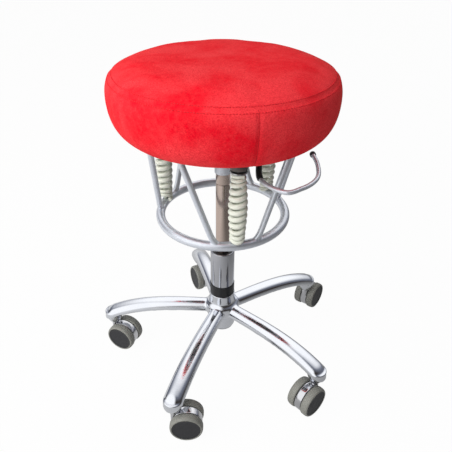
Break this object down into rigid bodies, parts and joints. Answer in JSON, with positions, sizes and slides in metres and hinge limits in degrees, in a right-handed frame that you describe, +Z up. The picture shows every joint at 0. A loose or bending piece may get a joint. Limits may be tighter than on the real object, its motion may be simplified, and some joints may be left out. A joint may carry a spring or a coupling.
{
  "type": "ergonomic stool",
  "caption": "Swing stool: round padded seat on a tube ring hung from barrel springs, with gas height adjustment, release bow and five-star base on twin-wheel casters.",
  "frame": {"origin": "on the floor, on the column's axis", "axes": "+Z up along the column, -Y towards the picture's viewer, +X to the viewer's right, the side of the release bow"},
  "size_m": [0.5292, 0.5164, 0.667],
  "materials": {
    "polished_aluminium": "mirror polished",
    "chrome": "polished",
    "silver_lacquer": "satin silver lacquer",
    "zinc_steel": "zinc plated",
    "black_plastic": "satin black",
    "cream_coating": "satin powder coat",
    "grey_tread": "satin soft tread",
    "birch_plywood": "sanded",
    "red_microfibre": "suede nap"
  },
  "bodies": {
    "base": {"base_star": "polished_aluminium", "column_tube": "chrome", "column_band": "black_plastic", "guide_bushing": "black_plastic", "piston_rod": "zinc_steel", "thrust_bearing": "zinc_steel", "rod_clip": "zinc_steel"},
    "piston": {"piston_tube": "chrome"},
    "release_pin": {"release_pin": "zinc_steel"},
    "carrier": {"carrier": "silver_lacquer", "rocker_pin": "zinc_steel"},
    "release_bow": {"release_rocker": "zinc_steel", "release_bow": "silver_lacquer", "bow_sleeve": "black_plastic", "bow_end_cap": "black_plastic"},
    "hanger_bush_1": {"hanger_bush_1": "black_plastic"},
    "spring_1": {"spring_hanger_1": "zinc_steel", "swing_spring_1": "cream_coating", "foot_stud_1": "zinc_steel"},
    "hanger_bush_2": {"hanger_bush_2": "black_plastic"},
    "spring_2": {"spring_hanger_2": "zinc_steel", "swing_spring_2": "cream_coating", "foot_stud_2": "zinc_steel", "foot_ball_2": "zinc_steel"},
    "hanger_bush_3": {"hanger_bush_3": "black_plastic"},
    "spring_3": {"spring_hanger_3": "zinc_steel", "swing_spring_3": "cream_coating", "foot_stud_3": "zinc_steel", "foot_ball_3": "zinc_steel"},
    "foot_ball_1": {"foot_ball_1": "zinc_steel"},
    "swing_frame": {"swing_ring": "silver_lacquer", "swing_leg_1": "silver_lacquer", "swing_leg_2": "silver_lacquer", "swing_leg_3": "silver_lacquer", "swing_leg_4": "silver_lacquer", "swing_leg_5": "silver_lacquer", "swing_leg_6": "silver_lacquer", "seat_plate": "zinc_steel", "seat_board": "birch_plywood", "seat_cushion": "red_microfibre"},
    "caster_1": {"caster_hood_1": "chrome", "caster_stem_1": "zinc_steel"},
    "wheel_1_left": {"caster_wheel_1_left": "grey_tread"},
    "wheel_1_right": {"caster_wheel_1_right": "grey_tread"},
    "caster_2": {"caster_hood_2": "chrome", "caster_stem_2": "zinc_steel"},
    "wheel_2_left": {"caster_wheel_2_left": "grey_tread"},
    "wheel_2_right": {"caster_wheel_2_right": "grey_tread"},
    "caster_3": {"caster_hood_3": "chrome", "caster_stem_3": "zinc_steel"},
    "wheel_3_left": {"caster_wheel_3_left": "grey_tread"},
    "wheel_3_right": {"caster_wheel_3_right": "grey_tread"},
    "caster_4": {"caster_hood_4": "chrome", "caster_stem_4": "zinc_steel"},
    "wheel_4_left": {"caster_wheel_4_left": "grey_tread"},
    "wheel_4_right": {"caster_wheel_4_right": "grey_tread"},
    "caster_5": {"caster_hood_5": "chrome", "caster_stem_5": "zinc_steel"},
    "wheel_5_left": {"caster_wheel_5_left": "grey_tread"},
    "wheel_5_right": {"caster_wheel_5_right": "grey_tread"}
  },
  "joints": [
    {"name": "height_lift", "type": "slide", "parent": "base", "child": "piston", "axis": [0, 0, 1], "range_m": [-0.12, 0]},
    {"name": "seat_swivel", "type": "hinge", "parent": "piston", "child": "carrier", "pos_m": [0, 0, 0.454], "axis": [0, 0, 1], "continuous": true},
    {"name": "release_press", "type": "hinge", "parent": "carrier", "child": "release_bow", "pos_m": [0.02649, -0.01408, 0.5225], "axis": [-0.4695, -0.8829, 0], "range_deg": [0, 6], "stiffness_Nm_per_rad": 6},
    {"name": "pin_press", "type": "slide", "parent": "piston", "child": "release_pin", "axis": [0, 0, -1], "range_m": [0, 0.0037]},
    {"name": "swing_side", "type": "hinge", "parent": "carrier", "child": "hanger_bush_1", "pos_m": [0.02536, -0.11933, 0.5245], "axis": [0, 1, 0], "range_deg": [-7, 7], "stiffness_Nm_per_rad": 14},
    {"name": "swing_fore", "type": "hinge", "parent": "hanger_bush_1", "child": "spring_1", "pos_m": [0.02536, -0.11933, 0.5245], "axis": [1, 0, 0], "range_deg": [-7, 7], "stiffness_Nm_per_rad": 14},
    {"name": "foot_fore", "type": "hinge", "parent": "spring_1", "child": "foot_ball_1", "pos_m": [0.02536, -0.11933, 0.37], "axis": [1, 0, 0], "range_deg": [-7, 7]},
    {"name": "foot_side", "type": "hinge", "parent": "foot_ball_1", "child": "swing_frame", "pos_m": [0.02536, -0.11933, 0.37], "axis": [0, 1, 0], "range_deg": [-7, 7]},
    {"name": "hang_side_2", "type": "hinge", "parent": "carrier", "child": "hanger_bush_2", "pos_m": [0.09066, 0.08163, 0.5245], "axis": [0, 1, 0], "range_deg": [-7, 7]},
    {"name": "hang_fore_2", "type": "hinge", "parent": "hanger_bush_2", "child": "spring_2", "pos_m": [0.09066, 0.08163, 0.5245], "axis": [1, 0, 0], "range_deg": [-7, 7]},
    {"name": "hang_side_3", "type": "hinge", "parent": "carrier", "child": "hanger_bush_3", "pos_m": [-0.11603, 0.0377, 0.5245], "axis": [0, 1, 0], "range_deg": [-7, 7]},
    {"name": "hang_fore_3", "type": "hinge", "parent": "hanger_bush_3", "child": "spring_3", "pos_m": [-0.11603, 0.0377, 0.5245], "axis": [1, 0, 0], "range_deg": [-7, 7]},
    {"name": "caster_swivel_1", "type": "hinge", "parent": "base", "child": "caster_1", "pos_m": [-0.24754, 0.01514, 0.062], "axis": [0, 0, 1], "continuous": true},
    {"name": "wheel_spin_1_left", "type": "hinge", "parent": "caster_1", "child": "wheel_1_left", "pos_m": [-0.22561, 0.00538, 0.0325], "axis": [-0.4067, -0.9135, 0], "continuous": true},
    {"name": "wheel_spin_1_right", "type": "hinge", "parent": "caster_1", "child": "wheel_1_right", "pos_m": [-0.22561, 0.00538, 0.0325], "axis": [-0.4067, -0.9135, 0], "continuous": true},
    {"name": "caster_swivel_2", "type": "hinge", "parent": "base", "child": "caster_2", "pos_m": [-0.09089, -0.23074, 0.062], "axis": [0, 0, 1], "continuous": true},
    {"name": "wheel_spin_2_left", "type": "hinge", "parent": "caster_2", "child": "wheel_2_left", "pos_m": [-0.06689, -0.23074, 0.0325], "axis": [0, -1, 0], "continuous": true},
    {"name": "wheel_spin_2_right", "type": "hinge", "parent": "caster_2", "child": "wheel_2_right", "pos_m": [-0.06689, -0.23074, 0.0325], "axis": [0, -1, 0], "continuous": true},
    {"name": "caster_swivel_3", "type": "hinge", "parent": "base", "child": "caster_3", "pos_m": [0.19136, -0.15775, 0.062], "axis": [0, 0, 1], "continuous": true},
    {"name": "wheel_spin_3_left", "type": "hinge", "parent": "caster_3", "child": "wheel_3_left", "pos_m": [0.17381, -0.17411, 0.0325], "axis": [0.682, -0.7314, 0], "continuous": true},
    {"name": "wheel_spin_3_right", "type": "hinge", "parent": "caster_3", "child": "wheel_3_right", "pos_m": [0.17381, -0.17411, 0.0325], "axis": [0.682, -0.7314, 0], "continuous": true},
    {"name": "caster_swivel_4", "type": "hinge", "parent": "base", "child": "caster_4", "pos_m": [0.20916, 0.13325, 0.062], "axis": [0, 0, 1], "continuous": true},
    {"name": "wheel_spin_4_left", "type": "hinge", "parent": "caster_4", "child": "wheel_4_left", "pos_m": [0.2236, 0.15242, 0.0325], "axis": [0.7986, -0.6018, 0], "continuous": true},
    {"name": "wheel_spin_4_right", "type": "hinge", "parent": "caster_4", "child": "wheel_4_right", "pos_m": [0.2236, 0.15242, 0.0325], "axis": [0.7986, -0.6018, 0], "continuous": true},
    {"name": "caster_swivel_5", "type": "hinge", "parent": "base", "child": "caster_5", "pos_m": [-0.06209, 0.2401, 0.062], "axis": [0, 0, 1], "continuous": true},
    {"name": "wheel_spin_5_left", "type": "hinge", "parent": "caster_5", "child": "wheel_5_left", "pos_m": [-0.05195, 0.21835, 0.0325], "axis": [-0.9063, -0.4226, 0], "continuous": true},
    {"name": "wheel_spin_5_right", "type": "hinge", "parent": "caster_5", "child": "wheel_5_right", "pos_m": [-0.05195, 0.21835, 0.0325], "axis": [-0.9063, -0.4226, 0], "continuous": true}
  ],
  "couplings": [
    {"joint": "pin_press", "follows": "release_press", "m_per_rad": 0.034},
    {"joint": "foot_fore", "follows": "swing_fore", "ratio": -1},
    {"joint": "foot_side", "follows": "swing_side", "ratio": -1},
    {"joint": "hang_side_2", "follows": "swing_side", "ratio": 1},
    {"joint": "hang_fore_2", "follows": "swing_fore", "ratio": 1},
    {"joint": "hang_side_3", "follows": "swing_side", "ratio": 1},
    {"joint": "hang_fore_3", "follows": "swing_fore", "ratio": 1}
  ]
}
